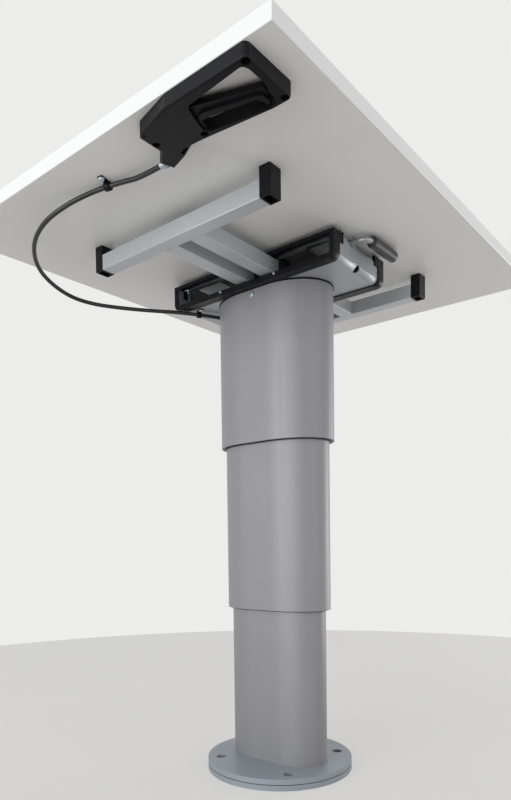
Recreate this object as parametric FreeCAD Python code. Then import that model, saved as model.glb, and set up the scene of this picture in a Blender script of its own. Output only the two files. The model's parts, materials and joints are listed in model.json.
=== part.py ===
"""Height-adjustable pedestal table frame: round floor base, three-stage oval column,
cross-slide tray, H-shaped top frame with its board, release handle and control cable.

Units are millimetres. +Z is up, X runs along the tray and the end bars, Y along the
long bars. The origin is the centre of the base's underside.
"""
import FreeCAD
import Part
import math
import os

V = FreeCAD.Vector
os.makedirs("parts", exist_ok=True)

# Floor base
base_radius = 100.0
base_plate_thickness = 7.0
slide_ring_thickness = 1.0
slide_ring_width = 34.0
slide_ring_inset = 1.5
flange_thickness = 7.0
floor_hole_circle = 163.0
floor_hole_radius = 4.5
floor_countersink_radius = 7.0
floor_countersink_depth = 2.5
access_hole_radius = 7.0
hub_radius = 25.0
hub_head_radius = 31.0
hub_head_thickness = 4.0
hub_screw_radius = 3.0
hub_screw_head_radius = 5.0
hub_screw_head_height = 3.5
hub_screw_circle = 32.0

# Column: the upper stage is the largest, each stage below is one step smaller
column_length = 174.0
column_width = 98.0
nose_length = 65.0
stage_step = 6.5
tube_wall = 3.0
lower_tube_length = 250.0
lower_overlap = 44.0
middle_tube_length = 270.0
middle_overlap = 47.0
upper_tube_length = 197.0
guide_height = 18.0
bush_height = 22.0
bush_lip = 1.0
stage_plate_thickness = 6.0
head_plate_thickness = 12.0
gasket_thickness = 2.0
gasket_overhang = 0.8
running_clearance = 0.3

# Gas springs inside the column
spring_offset = 28.0
spring_radius = 14.0
spring_a_length = 235.0
spring_b_length = 200.0
spring_rod_radius = 5.0
spring_seat_height = 8.0
spring_seat_thickness = 4.0
valve_pin_radius = 3.0
valve_pin_proud = 0.5

# Valve rocker in the column head
rocker_pocket_length = 84.0
rocker_pocket_width = 18.0
rocker_pocket_depth = 8.0
rocker_thickness = 3.0
rocker_pivot_x = -14.0
rocker_pin_radius = 2.0
rocker_swing_room = 3.0

# Tray
tray_half_length = 131.5
tray_half_depth = 58.5
tray_sheet = 2.0
tray_wall_height = 30.0
tray_bend_radius = 7.0
trim_overhang = 1.5
trim_drop = 1.5
trim_height = 33.0
trim_depth = 13.5
trim_side = 6.0
trim_lower_bar = 6.5
trim_upper_bar = 4.5
trim_flange = 2.0
trim_window_radius = 1.0
trim_column_clearance = 2.0
trim_screw_x = 45.0
trim_screw_rise = 4.6
trim_screw_radius = 1.0
trim_screw_length = 6.0
trim_screw_head_radius = 1.8
trim_screw_head_height = 1.0
clip_slot_width = 8.0
clip_slot_depth = 10.0
clip_slot_y = 42.0
clip_rise = 3.0
clip_fit = 0.2
bend_notch_y = -2.0
bend_notch_radius = 5.0
wall_step_y = -31.0
wall_step_run = 10.0
wall_step_drop = 5.0
bracket_x = 117.0
bracket_sheet = 2.5
bracket_leg_width = 40.0
bracket_foot_height = 2.5
rail_height = 6.0
rail_width = 8.0
rail_y = 42.0
rail_groove = 2.0
tray_screw_x = 55.0
tray_screw_y = 20.0
tray_screw_radius = 3.0

# Carriage that crosses the tray
carriage_offset = 10.5
carriage_half_length = 72.0
carriage_sheet = 2.0
carriage_base_half_width = 40.0
carriage_floor_gap = 1.0
guide_block_half_length = 38.0
guide_block_y = 36.5
guide_block_depth = 15.0
shoe_length = 24.0
shoe_wall = 4.0
shoe_lip = 1.5
carriage_hole_half = 28.0
carriage_screw_radius = 1.5
carriage_screw_length = 14.0
carriage_screw_head_radius = 2.8
carriage_screw_head_height = 2.0

# Brake and lock lever
brake_bar_width = 10.0
brake_bar_thickness = 1.2
brake_bar_lift = 0.3
lever_y = -16.0
lever_rise = 27.0
lever_rod_radius = 3.5
lever_inner_x = 108.0
lever_outer_x = 151.5
lever_bend_radius = 10.0
lever_grip_start = 12.0
lever_grip_length = 56.0
lever_grip_radius = 7.0
lever_grip_round = 2.0
cam_radius = 7.5
cam_offset = 6.0
cam_length = 6.0
cam_gap = 0.5
lever_nut_radius = 5.5
lever_nut_length = 4.0
lever_nut_gap = 0.8

# Top frame
frame_offset_y = -23.0
frame_depth = 353.0
bar_height = 18.7
end_bar_depth = 17.8
end_bar_length = 249.5
long_bar_width = 19.7
long_bar_spacing = 40.4
bar_wall = 1.5
bar_corner_radius = 1.0
bar_rise = 7.0
cap_length = 13.3
cap_proud = 0.5
cap_round = 1.2
cap_plug_length = 12.0
cap_recess = 12.0
cap_recess_wall = 2.2
cap_screw_radius = 2.2
cap_screw_head_radius = 4.0
cap_screw_head_height = 3.0
cap_height = 30.6

# Board
board_length_x = 483.0
board_length_y = 607.0
board_thickness = 15.0
board_edge_round = 1.0
board_offset_y = -26.0

# Release handle
handle_height = 12.0
handle_floor = 2.5
handle_wall = 3.0
handle_round = 2.2
handle_right_x = 227.0
handle_left_x = 93.0
handle_front_inset = 1.0
handle_depth = 59.5
handle_neck_depth = 49.5
opening_left_x = 153.5
opening_wall_front = 6.0
opening_wall_back = 3.0
opening_wall_right = 7.0
opening_round = 4.5
handle_screw_radius = 2.0
handle_screw_head_radius = 3.4
handle_screw_head_height = 2.4
handle_screw_recess = 8.0
pivot_x = 137.0
pivot_setback = 21.0
trigger_thickness = 5.0
trigger_rim_drop = 2.0
trigger_pin_radius = 2.5
trigger_hub_radius = 6.0
trigger_spring_wire = 1.2
nipple_radius = 3.4
nipple_length = 11.5
nipple_flange_radius = 4.4
nipple_flange_length = 3.0
nipple_inset = 3.0
nipple_setback = 2.0
cable_axis_drop = 7.0

# Control cable and what holds it
cable_diameter = 5.0
cable_half_gap = 0.1
cable_join_share = 0.53
clip_wall = 1.8
clip_length = 6.0
clip_tab_thickness = 1.3
clip_tab_length = 10.0
clip_screw_radius = 1.5
clip_screw_head_radius = 3.2
clip_screw_head_height = 2.0
stop_length = 14.0
stop_width = 9.0
stop_height = 8.0

# Levels, from the floor up
base_top = base_plate_thickness
flange_bottom = base_top + slide_ring_thickness
flange_top = flange_bottom + flange_thickness
lower_top = flange_top + lower_tube_length
middle_bottom = lower_top - lower_overlap
middle_top = middle_bottom + middle_tube_length
upper_bottom = middle_top - middle_overlap
upper_top = upper_bottom + upper_tube_length
tray_bottom = upper_top + gasket_thickness
tray_floor = tray_bottom + tray_sheet
trim_bottom = tray_bottom - trim_drop
trim_top = trim_bottom + trim_height
bar_bottom = tray_bottom + bar_rise
bar_top = bar_bottom + bar_height
cap_bottom = bar_bottom - cap_proud
board_bottom = cap_bottom + cap_height
board_top = board_bottom + board_thickness
guide_top = bar_top + 2 * running_clearance
rail_bottom = guide_top + carriage_sheet + running_clearance
rail_top = rail_bottom + rail_height
lever_z = tray_floor + lever_rise
spring_seat_top = flange_top + spring_seat_height + spring_seat_thickness

# Places in plan
frame_x = carriage_offset
front_bar_y = frame_offset_y - frame_depth / 2
rear_bar_y = frame_offset_y + frame_depth / 2
board_front_y = board_offset_y - board_length_y / 2
handle_front_y = board_front_y + handle_front_inset
handle_bottom = board_bottom - handle_height
pivot_y = handle_front_y + pivot_setback

nodes = {}


def box(x0, x1, y0, y1, z0, z1):
    """Box between opposite corners."""
    return Part.makeBox(x1 - x0, y1 - y0, z1 - z0, V(x0, y0, z0))


def cylinder(radius, height, base, direction=V(0, 0, 1)):
    return Part.makeCylinder(radius, height, base, direction)


def fuse(shapes):
    result = shapes[0]
    for shape in shapes[1:]:
        result = result.fuse(shape)
    return result.removeSplitter()


def cut(shape, tools):
    for tool in tools:
        shape = shape.cut(tool)
    return shape


def prism(points, z0, z1):
    """Straight-sided solid over a polygon in plan."""
    corners = [V(x, y, z0) for x, y in points]
    wire = Part.makePolygon(corners + corners[:1])
    return Part.Face(wire).extrude(V(0, 0, z1 - z0))


def upright_edges(shape):
    """Straight edges that run along Z."""
    found = []
    for edge in shape.Edges:
        ends = [vertex.Point for vertex in edge.Vertexes]
        if len(ends) == 2 and abs(ends[0].z - ends[1].z) > 0.5:
            if abs(ends[0].x - ends[1].x) < 0.01 and abs(ends[0].y - ends[1].y) < 0.01:
                found.append(edge)
    return found


def edges_at(shape, z):
    """Edges that lie wholly at one height."""
    return [e for e in shape.Edges if all(abs(v.Point.z - z) < 0.01 for v in e.Vertexes)]


def oval(inset, z0, z1):
    """Solid oval column section, drawn in by inset from the upper stage's outside."""
    flat = column_length / 2 - nose_length
    half_width = column_width / 2 - inset
    nose = nose_length - inset
    edges = []
    for side in (1, -1):
        start = V(side * flat, -side * half_width, z0)
        end = V(side * flat, side * half_width, z0)
        ellipse = Part.Ellipse(V(0, 0, z0), nose, half_width)
        arc = Part.Arc(ellipse, -math.pi / 2, math.pi / 2).toShape()
        if side < 0:
            arc.rotate(V(0, 0, z0), V(0, 0, 1), 180)
        arc.translate(V(side * flat, 0, 0))
        edges.append(arc)
        edges.append(Part.LineSegment(end, V(-start.x, end.y, z0)).toShape())
    wire = Part.Wire(Part.__sortEdges__(edges))
    return Part.Face(wire).extrude(V(0, 0, z1 - z0))


def oval_ring(outer_inset, inner_inset, z0, z1):
    return oval(outer_inset, z0, z1).cut(oval(inner_inset, z0, z1))


def around(count, radius, start=0.0):
    """Points spread evenly round the column's axis."""
    step = 2 * math.pi / count
    angles = [math.radians(start) + step * i for i in range(count)]
    return [(radius * math.cos(a), radius * math.sin(a)) for a in angles]


def pan_screw(point, direction, shank_radius, shank_length, head_radius, head_height):
    """Round-headed screw: direction points from the seat out of the head."""
    head = cylinder(head_radius, head_height, point, direction)
    rim = [e for e in head.Edges if (e.CenterOfMass - point).dot(direction) > head_height * 0.9]
    head = head.makeFillet(head_height * 0.4, rim[:1])
    socket_depth = head_height * 0.5
    top = point + direction * (head_height - socket_depth)
    head = head.cut(cylinder(head_radius * 0.4, socket_depth, top, direction))
    shank = cylinder(shank_radius, shank_length, point - direction * shank_length, direction)
    return fuse([head, shank])


def floor_base():
    holes = around(4, floor_hole_circle / 2, 45)
    plate = cylinder(base_radius, base_plate_thickness, V(0, 0, 0))
    sink_z = base_top - floor_countersink_depth
    for x, y in holes:
        sink = Part.makeCone(floor_hole_radius, floor_countersink_radius, floor_countersink_depth, V(x, y, sink_z))
        plate = cut(plate, [cylinder(floor_hole_radius, base_top, V(x, y, 0)), sink])
    screw_places = around(3, hub_screw_circle / 2, 90)
    hub_top = flange_top + running_clearance + hub_head_thickness
    for x, y in screw_places:
        plate = plate.cut(cylinder(hub_screw_radius, base_top, V(x, y, 0)))
    nodes["base_plate"] = plate

    ring_outer = base_radius - slide_ring_inset
    ring = cylinder(ring_outer, slide_ring_thickness, V(0, 0, base_top))
    ring = ring.cut(cylinder(ring_outer - slide_ring_width, slide_ring_thickness, V(0, 0, base_top)))
    for x, y in holes:
        ring = ring.cut(cylinder(floor_countersink_radius, slide_ring_thickness, V(x, y, base_top)))
    nodes["slide_ring"] = ring

    neck = cylinder(hub_radius, hub_top - base_top, V(0, 0, base_top))
    head = cylinder(hub_head_radius, hub_head_thickness, V(0, 0, hub_top - hub_head_thickness))
    hub = fuse([neck, head])
    screws = []
    for x, y in screw_places:
        hub = hub.cut(cylinder(hub_screw_radius, hub_top, V(x, y, 0)))
        screws.append(pan_screw(V(x, y, hub_top), V(0, 0, 1), hub_screw_radius, hub_top,
                                hub_screw_head_radius, hub_screw_head_height))
    nodes["swivel_hub"] = hub
    nodes["hub_screws"] = Part.makeCompound(screws)

    flange = cylinder(base_radius, flange_thickness, V(0, 0, flange_bottom))
    flange = flange.makeFillet(running_clearance, edges_at(flange, flange_top)[:1])
    bore = cylinder(hub_radius + running_clearance, flange_thickness, V(0, 0, flange_bottom))
    flange = flange.cut(bore)
    for x, y in holes:
        flange = flange.cut(cylinder(access_hole_radius, flange_thickness, V(x, y, flange_bottom)))
    nodes["upper_flange"] = flange


def column():
    lower_inset = 2 * stage_step
    middle_inset = stage_step
    gap = stage_step - tube_wall
    nodes["lower_tube"] = oval_ring(lower_inset, lower_inset + tube_wall, flange_top, lower_top)
    nodes["middle_tube"] = oval_ring(middle_inset, middle_inset + tube_wall, middle_bottom, middle_top)
    upper = oval_ring(0, tube_wall, upper_bottom, upper_top)

    # Plastic guides: a collar on top of each inner tube, a bush at the foot of each outer one
    collar = lower_inset - gap + running_clearance
    nodes["lower_guide_collar"] = oval_ring(collar, lower_inset, lower_top - guide_height, lower_top)
    nodes["middle_bush"] = oval_ring(middle_inset + tube_wall, lower_inset - running_clearance,
                                     middle_bottom - bush_lip, middle_bottom + bush_height)
    collar = middle_inset - gap + running_clearance
    nodes["middle_guide_collar"] = oval_ring(collar, middle_inset, middle_top - guide_height, middle_top)
    nodes["upper_bush"] = oval_ring(tube_wall, middle_inset - running_clearance,
                                    upper_bottom - bush_lip, upper_bottom + bush_height)

    seat_bottom = spring_seat_top - spring_seat_thickness
    seat = oval(lower_inset + tube_wall, seat_bottom, spring_seat_top)
    nodes["spring_seat"] = seat

    plate_bottom = middle_top - stage_plate_thickness
    plate = oval(middle_inset + tube_wall, plate_bottom, middle_top)
    rod_hole = cylinder(spring_rod_radius + 2 * running_clearance, stage_plate_thickness,
                        V(spring_offset, 0, plate_bottom))
    plate = plate.cut(rod_hole)
    nodes["middle_top_plate"] = plate

    head_bottom = upper_top - head_plate_thickness
    head = oval(tube_wall, head_bottom, upper_top)
    pocket_half = rocker_pocket_length / 2
    pocket_bottom = upper_top - rocker_pocket_depth
    pocket = box(-pocket_half, pocket_half, -rocker_pocket_width / 2, rocker_pocket_width / 2,
                 pocket_bottom, upper_top)
    pin_hole = cylinder(valve_pin_radius + running_clearance, head_plate_thickness,
                        V(spring_offset, 0, head_bottom))
    head = cut(head, [pocket, pin_hole])
    gasket = oval(-gasket_overhang, upper_top, tray_bottom)

    # Side screws that hold the head in the upper tube, one in each long side
    screws = []
    screw_z = upper_top - head_plate_thickness / 2
    for side in (-1, 1):
        seat_point = V(0, side * column_width / 2, screw_z)
        outward = V(0, side, 0)
        screw = pan_screw(seat_point, outward, 2.0, 12.0, 3.5, 1.8)
        hole = cylinder(2.0, 12.0, seat_point - outward * 12.0, outward)
        upper = upper.cut(hole)
        head = head.cut(hole)
        screws.append(screw)

    # Screws down through the tray floor into the head
    for x in (-tray_screw_x, tray_screw_x):
        for y in (-tray_screw_y, tray_screw_y):
            shank = cylinder(tray_screw_radius, head_plate_thickness + gasket_thickness, V(x, y, head_bottom))
            sink = Part.makeCone(tray_screw_radius, 2 * tray_screw_radius, tray_sheet, V(x, y, tray_bottom))
            screw = fuse([shank, sink])
            slot = cylinder(tray_screw_radius * 0.6, tray_sheet, V(x, y, tray_bottom + tray_sheet * 0.3))
            screws.append(screw.cut(slot))
            head = head.cut(shank)
            gasket = gasket.cut(shank)
    nodes["head_screws"] = Part.makeCompound(screws)
    nodes["upper_tube"] = upper

    # Rocker that presses the spring's valve pin, on its own cross pin
    pin_z = pocket_bottom + rocker_swing_room + rocker_thickness / 2
    pin_reach = rocker_pocket_width / 2 + 3.0
    pin = cylinder(rocker_pin_radius, 2 * pin_reach, V(rocker_pivot_x, -pin_reach, pin_z), V(0, 1, 0))
    nodes["rocker_pin"] = pin
    nodes["column_head"] = head.cut(pin)
    nodes["head_gasket"] = gasket
    half_width = rocker_pocket_width / 2 - 1.0
    rocker = box(-pocket_half + 3.0, spring_offset + 6.0, -half_width, half_width,
                 pin_z - rocker_thickness / 2, pin_z + rocker_thickness / 2)
    bore = cylinder(rocker_pin_radius + 0.05, 2 * pin_reach, V(rocker_pivot_x, -pin_reach, pin_z), V(0, 1, 0))
    nodes["valve_rocker"] = rocker.cut(bore)


def gas_springs():
    plate_bottom = middle_top - stage_plate_thickness
    head_bottom = upper_top - head_plate_thickness
    body_a = cylinder(spring_radius, spring_a_length, V(-spring_offset, 0, spring_seat_top))
    rim_z = spring_seat_top + spring_a_length
    body_a = body_a.makeFillet(2.0, edges_at(body_a, rim_z)[:1])
    bore_a = cylinder(spring_rod_radius + running_clearance, spring_a_length - 10.0,
                      V(-spring_offset, 0, spring_seat_top + 10.0))
    nodes["spring_a_cylinder"] = body_a.cut(bore_a)
    rod_inserted = 12.0
    nodes["spring_a_rod"] = cylinder(spring_rod_radius, plate_bottom - rim_z + rod_inserted,
                                     V(-spring_offset, 0, rim_z - rod_inserted))
    body_b = cylinder(spring_radius, spring_b_length, V(spring_offset, 0, plate_bottom - spring_b_length))
    body_b = body_b.makeFillet(2.0, edges_at(body_b, plate_bottom - spring_b_length)[:1])
    bore_b = cylinder(spring_rod_radius + running_clearance, spring_b_length - 10.0,
                      V(spring_offset, 0, plate_bottom - spring_b_length + 10.0))
    nodes["spring_b_cylinder"] = body_b.cut(bore_b)
    rod = cylinder(spring_rod_radius, head_bottom - plate_bottom + rod_inserted,
                   V(spring_offset, 0, plate_bottom - rod_inserted))
    pin_length = head_plate_thickness - rocker_pocket_depth + valve_pin_proud
    valve_pin = cylinder(valve_pin_radius, pin_length, V(spring_offset, 0, head_bottom))
    nodes["spring_b_rod"] = fuse([rod, valve_pin])


def tray():
    wall_top = tray_bottom + tray_wall_height
    outer = box(-tray_half_length, tray_half_length, -tray_half_depth, tray_half_depth, tray_bottom, wall_top)
    long_edges = [e for e in edges_at(outer, tray_bottom) if abs(e.CenterOfMass.y) < 1.0]
    outer = outer.makeFillet(tray_bend_radius, long_edges)
    inner = box(-tray_half_length + tray_sheet, tray_half_length - tray_sheet,
                -tray_half_depth, tray_half_depth, tray_floor, wall_top)
    long_edges = [e for e in edges_at(inner, tray_floor) if abs(e.CenterOfMass.y) < 1.0]
    inner = inner.makeFillet(tray_bend_radius - tray_sheet, long_edges)
    sheet = outer.cut(inner)
    envelope = outer.copy()

    # Slots for the trim clips, in both end walls
    slot_half = clip_slot_width / 2
    for y in (-clip_slot_y, clip_slot_y):
        slot = box(-tray_half_length, tray_half_length, y - slot_half, y + slot_half,
                   wall_top - clip_slot_depth, wall_top)
        sheet = sheet.cut(slot)

    # Round hole across each end bend, and the lower stretch of the right wall under the lock lever
    for end in (-1, 1):
        corner = V(end * tray_half_length, bend_notch_y, tray_bottom)
        sheet = sheet.cut(cylinder(bend_notch_radius, 2 * tray_bend_radius, corner, V(-end, 0, 1)))
    step = Part.makePolygon([
        V(0, wall_step_y, wall_top), V(0, wall_step_y + wall_step_run, wall_top - wall_step_drop),
        V(0, clip_slot_y, wall_top - wall_step_drop), V(0, clip_slot_y, wall_top), V(0, wall_step_y, wall_top),
    ])
    sheet = sheet.cut(Part.Face(step).extrude(V(tray_half_length, 0, 0)))
    for x in (-tray_screw_x, tray_screw_x):
        for y in (-tray_screw_y, tray_screw_y):
            sheet = sheet.cut(Part.makeCone(tray_screw_radius, 2 * tray_screw_radius, tray_sheet,
                                            V(x, y, tray_bottom)))
    nodes["tray"] = sheet

    for name, side in (("front_trim", -1), ("rear_trim", 1)):
        nodes[name] = trim(side, envelope)
    screws = []
    for x in (-trim_screw_x, trim_screw_x):
        for side in (-1, 1):
            face = V(x, side * (tray_half_depth + trim_overhang), trim_bottom + trim_screw_rise)
            screw = pan_screw(face, V(0, side, 0), trim_screw_radius, trim_screw_length,
                              trim_screw_head_radius, trim_screw_head_height)
            name = "front_trim" if side < 0 else "rear_trim"
            nodes[name] = nodes[name].cut(screw)
            screws.append(screw)
    nodes["tray_small_screws"] = Part.makeCompound(screws)

    clips = []
    for end in (-1, 1):
        for y in (-clip_slot_y, clip_slot_y):
            inner_x = tray_half_length - tray_sheet - 1.0
            outer_x = tray_half_length + trim_overhang
            x0, x1 = sorted((end * inner_x, end * outer_x))
            half = slot_half - clip_fit
            clip = box(x0, x1, y - half, y + half, wall_top - clip_slot_depth, wall_top + clip_rise)
            groove = box(x0, x1, y - half / 2, y + half / 2, wall_top, wall_top + clip_rise)
            clips.append(clip.cut(groove))
    clip_group = Part.makeCompound(clips)
    for name in ("front_trim", "rear_trim"):
        nodes[name] = nodes[name].cut(clip_group)
    nodes["trim_clips"] = clip_group


def trim(side, envelope):
    """Plastic frame of one open end of the tray: a thin front flange and a wrap round the sheet."""
    half = tray_half_length + trim_overhang
    outer_y = side * (tray_half_depth + trim_overhang)
    inner_y = outer_y - side * trim_depth
    y0, y1 = sorted((outer_y, inner_y))
    frame = box(-half, half, y0, y1, trim_bottom, trim_top)
    corners = [e for e in frame.Edges if abs(e.CenterOfMass.z - trim_bottom) < 0.01
               and abs(abs(e.CenterOfMass.x) - half) < 0.01]
    frame = frame.makeFillet(tray_bend_radius + trim_overhang, corners)
    window_bottom = trim_bottom + trim_lower_bar
    window = box(-half + trim_side, half - trim_side, y0, y1, window_bottom, trim_top - trim_upper_bar)
    window = window.makeFillet(trim_window_radius, [e for e in window.Edges
                                                    if abs(e.CenterOfMass.y - (y0 + y1) / 2) < 0.01])
    frame = frame.cut(window)
    # Behind the front flange only the wrap stays, and the tray's sheet sits in it
    wall_x = tray_half_length - tray_sheet
    i0, i1 = sorted((outer_y - side * trim_flange, inner_y))
    frame = frame.cut(box(-wall_x, wall_x, i0, i1, tray_floor, trim_top - trim_overhang))
    wall_top = tray_bottom + tray_wall_height
    hollow = box(-wall_x, wall_x, -tray_half_depth, tray_half_depth, tray_floor, wall_top)
    hollow = hollow.makeFillet(tray_bend_radius - tray_sheet,
                               [e for e in edges_at(hollow, tray_floor) if abs(e.CenterOfMass.y) < 1.0])
    frame = frame.cut(envelope.cut(hollow))
    return frame.cut(oval(-trim_column_clearance, trim_bottom, tray_bottom))


def rails():
    """Two guide rails across the tray, the brackets that carry them, and the brake bar."""
    outer_x = tray_half_length - tray_sheet
    for name, side in (("rail_bracket_left", -1), ("rail_bracket_right", 1)):
        x0, x1 = sorted((side * bracket_x, side * (bracket_x + bracket_sheet)))
        wall = box(x0, x1, -rail_y - rail_width / 2, rail_y + rail_width / 2, tray_floor, rail_top)
        f0, f1 = sorted((side * bracket_x, side * (outer_x - tray_bend_radius)))
        foot = box(f0, f1, -rail_y - rail_width / 2, rail_y + rail_width / 2,
                   tray_floor, tray_floor + bracket_foot_height)
        gap_half = rail_y + rail_width / 2 - bracket_leg_width
        gap = box(min(x0, f0), max(x1, f1), -gap_half, gap_half, tray_floor + 8.0, rail_top)
        bracket = fuse([wall, foot]).cut(gap)
        if side > 0:
            bracket = bracket.cut(cylinder(lever_rod_radius + running_clearance, outer_x,
                                           V(0, lever_y, lever_z), V(1, 0, 0)))
        nodes[name] = bracket
    rail_pair = []
    for side in (-1, 1):
        centre = side * rail_y
        rail = box(-bracket_x, bracket_x, centre - rail_width / 2, centre + rail_width / 2, rail_bottom, rail_top)
        open_face = centre + side * rail_width / 2
        g0, g1 = sorted((open_face, open_face - side * rail_groove))
        groove = box(-bracket_x, bracket_x, g0, g1, rail_bottom + rail_height * 0.3, rail_top - rail_height * 0.3)
        rail_pair.append(rail.cut(groove))
    nodes["guide_rails"] = Part.makeCompound(rail_pair)
    bolts = []
    for side in (-1, 1):
        for y in (-rail_y, rail_y):
            face = V(side * (bracket_x + bracket_sheet), y * 0.93, tray_floor + 10.0)
            bolts.append(pan_screw(face, V(side, 0, 0), 2.5, bracket_sheet + 3.0, 4.5, 3.0))
    group = Part.makeCompound(bolts)
    for name in ("rail_bracket_left", "rail_bracket_right"):
        nodes[name] = nodes[name].cut(group)
    nodes["bracket_bolts"] = group
    bar_z = tray_floor + carriage_floor_gap + carriage_sheet + brake_bar_lift
    bar = box(-bracket_x, bracket_x, lever_y - brake_bar_width / 2, lever_y + brake_bar_width / 2,
              bar_z, bar_z + brake_bar_thickness)
    pad = box(lever_inner_x, bracket_x, lever_y - brake_bar_width / 2, lever_y + brake_bar_width / 2,
              bar_z, lever_z - cam_offset - cam_radius - cam_gap)
    nodes["brake_bar"] = fuse([bar, pad])


def carriage():
    """Plates, bar guides and rail shoes that run across the tray."""
    x0, x1 = frame_x - carriage_half_length, frame_x + carriage_half_length
    base_bottom = tray_floor + carriage_floor_gap
    base_top_z = base_bottom + carriage_sheet
    plate = box(x0, x1, -carriage_base_half_width, carriage_base_half_width, base_bottom, base_top_z)
    nodes["carriage_base"] = plate.makeFillet(4.0, upright_edges(plate))
    top_half = rail_y + rail_width / 4
    top = box(x0, x1, -top_half, top_half, guide_top, guide_top + carriage_sheet)
    window_half = guide_block_y - guide_block_depth / 2 - 4.0
    hand_hole = box(frame_x - carriage_hole_half, frame_x + carriage_hole_half, -window_half, window_half, guide_top, guide_top + carriage_sheet)
    top = top.cut(hand_hole)
    screw_x = guide_block_half_length - 3.6
    screw_y = guide_block_y - 3.5
    screws = []
    for x in (frame_x - screw_x, frame_x + screw_x):
        for y in (-screw_y, screw_y):
            screw = pan_screw(V(x, y, guide_top + carriage_sheet), V(0, 0, 1), carriage_screw_radius,
                              carriage_screw_length, carriage_screw_head_radius, carriage_screw_head_height)
            top = top.cut(screw)
            screws.append(screw)
    nodes["carriage_top"] = top
    nodes["carriage_screws"] = Part.makeCompound(screws)
    groove_half = long_bar_width / 2 + running_clearance
    guides = []
    for side in (-1, 1):
        centre = side * guide_block_y
        block = box(frame_x - guide_block_half_length, frame_x + guide_block_half_length,
                    centre - guide_block_depth / 2, centre + guide_block_depth / 2, base_top_z, guide_top)
        for bar in (-1, 1):
            bar_x = frame_x + bar * long_bar_spacing / 2
            block = block.cut(box(bar_x - groove_half, bar_x + groove_half, centre - guide_block_depth / 2,
                                  centre + guide_block_depth / 2, bar_bottom - running_clearance, guide_top))
        guides.append(cut(block, screws))
    nodes["bar_guides"] = Part.makeCompound(guides)
    shoe_x = carriage_half_length - shoe_length / 2 - 1.0
    shoe_top = rail_top + running_clearance + shoe_lip
    shoes = []
    for side in (-1, 1):
        inner = rail_y - rail_width / 2 - running_clearance
        for end in (-1, 1):
            centre = frame_x + end * shoe_x
            s0, s1 = centre - shoe_length / 2, centre + shoe_length / 2
            y0, y1 = sorted((side * (inner - shoe_wall), side * inner))
            l0, l1 = sorted((side * (inner - shoe_wall), side * (rail_y + rail_width / 4)))
            web = box(s0, s1, y0, y1, guide_top + carriage_sheet, shoe_top)
            lip = box(s0, s1, l0, l1, shoe_top - shoe_lip, shoe_top)
            shoes.append(fuse([web, lip]))
    nodes["rail_shoes"] = Part.makeCompound(shoes)


def lock_lever():
    """Cranked rod with a cam at its inner end and a grip on its outer leg."""
    bend = lever_bend_radius
    shaft_end = V(lever_outer_x - bend, lever_y, lever_z)
    leg_start = V(lever_outer_x, lever_y + bend, lever_z)
    middle_turn = math.sqrt(0.5)
    mid = V(lever_outer_x - bend + bend * middle_turn, lever_y + bend - bend * middle_turn, lever_z)
    leg_end = V(lever_outer_x, lever_y + lever_grip_start + lever_grip_length - 5.0, lever_z)
    path = Part.Wire([
        Part.LineSegment(V(lever_inner_x, lever_y, lever_z), shaft_end).toShape(),
        Part.Arc(shaft_end, mid, leg_start).toShape(),
        Part.LineSegment(leg_start, leg_end).toShape(),
    ])
    circle = Part.Wire(Part.makeCircle(lever_rod_radius, V(lever_inner_x, lever_y, lever_z), V(1, 0, 0)))
    rod = path.makePipeShell([circle], True, False)
    grip_y = lever_y + lever_grip_start
    grip = cylinder(lever_grip_radius, lever_grip_length, V(lever_outer_x, grip_y, lever_z), V(0, 1, 0))
    rims = [e for e in grip.Edges if abs(e.CenterOfMass.x - lever_outer_x) < 0.01
            and min(abs(e.CenterOfMass.y - grip_y), abs(e.CenterOfMass.y - grip_y - lever_grip_length)) < 0.01]
    grip = grip.makeFillet(lever_grip_round, rims)
    nodes["lock_grip"] = grip.cut(rod)
    cam = cylinder(cam_radius, cam_length, V(lever_inner_x + 1.0, lever_y, lever_z - cam_offset), V(1, 0, 0))
    # Nuts on both sides of the tray's wall
    nuts = []
    for x in (tray_half_length + lever_nut_gap, tray_half_length - tray_sheet - lever_nut_gap - lever_nut_length):
        nuts.append(cylinder(lever_nut_radius, lever_nut_length, V(x, lever_y, lever_z), V(1, 0, 0)))
    nodes["lock_rod"] = fuse([rod, cam] + nuts)


def hollow_bar(x0, x1, y0, y1, z0, z1, axis):
    """Rectangular tube with rounded long edges, open at both ends."""
    bar = box(x0, x1, y0, y1, z0, z1)
    long_edges = []
    for edge in bar.Edges:
        run = edge.Vertexes[1].Point - edge.Vertexes[0].Point
        if abs(run.dot(axis)) > 0.9 * run.Length:
            long_edges.append(edge)
    bar = bar.makeFillet(bar_corner_radius, long_edges)
    margin = V(bar_wall, bar_wall, bar_wall) - axis * bar_wall
    hollow = box(x0 + margin.x, x1 - margin.x, y0 + margin.y, y1 - margin.y, z0 + margin.z, z1 - margin.z)
    return bar.cut(hollow)


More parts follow.
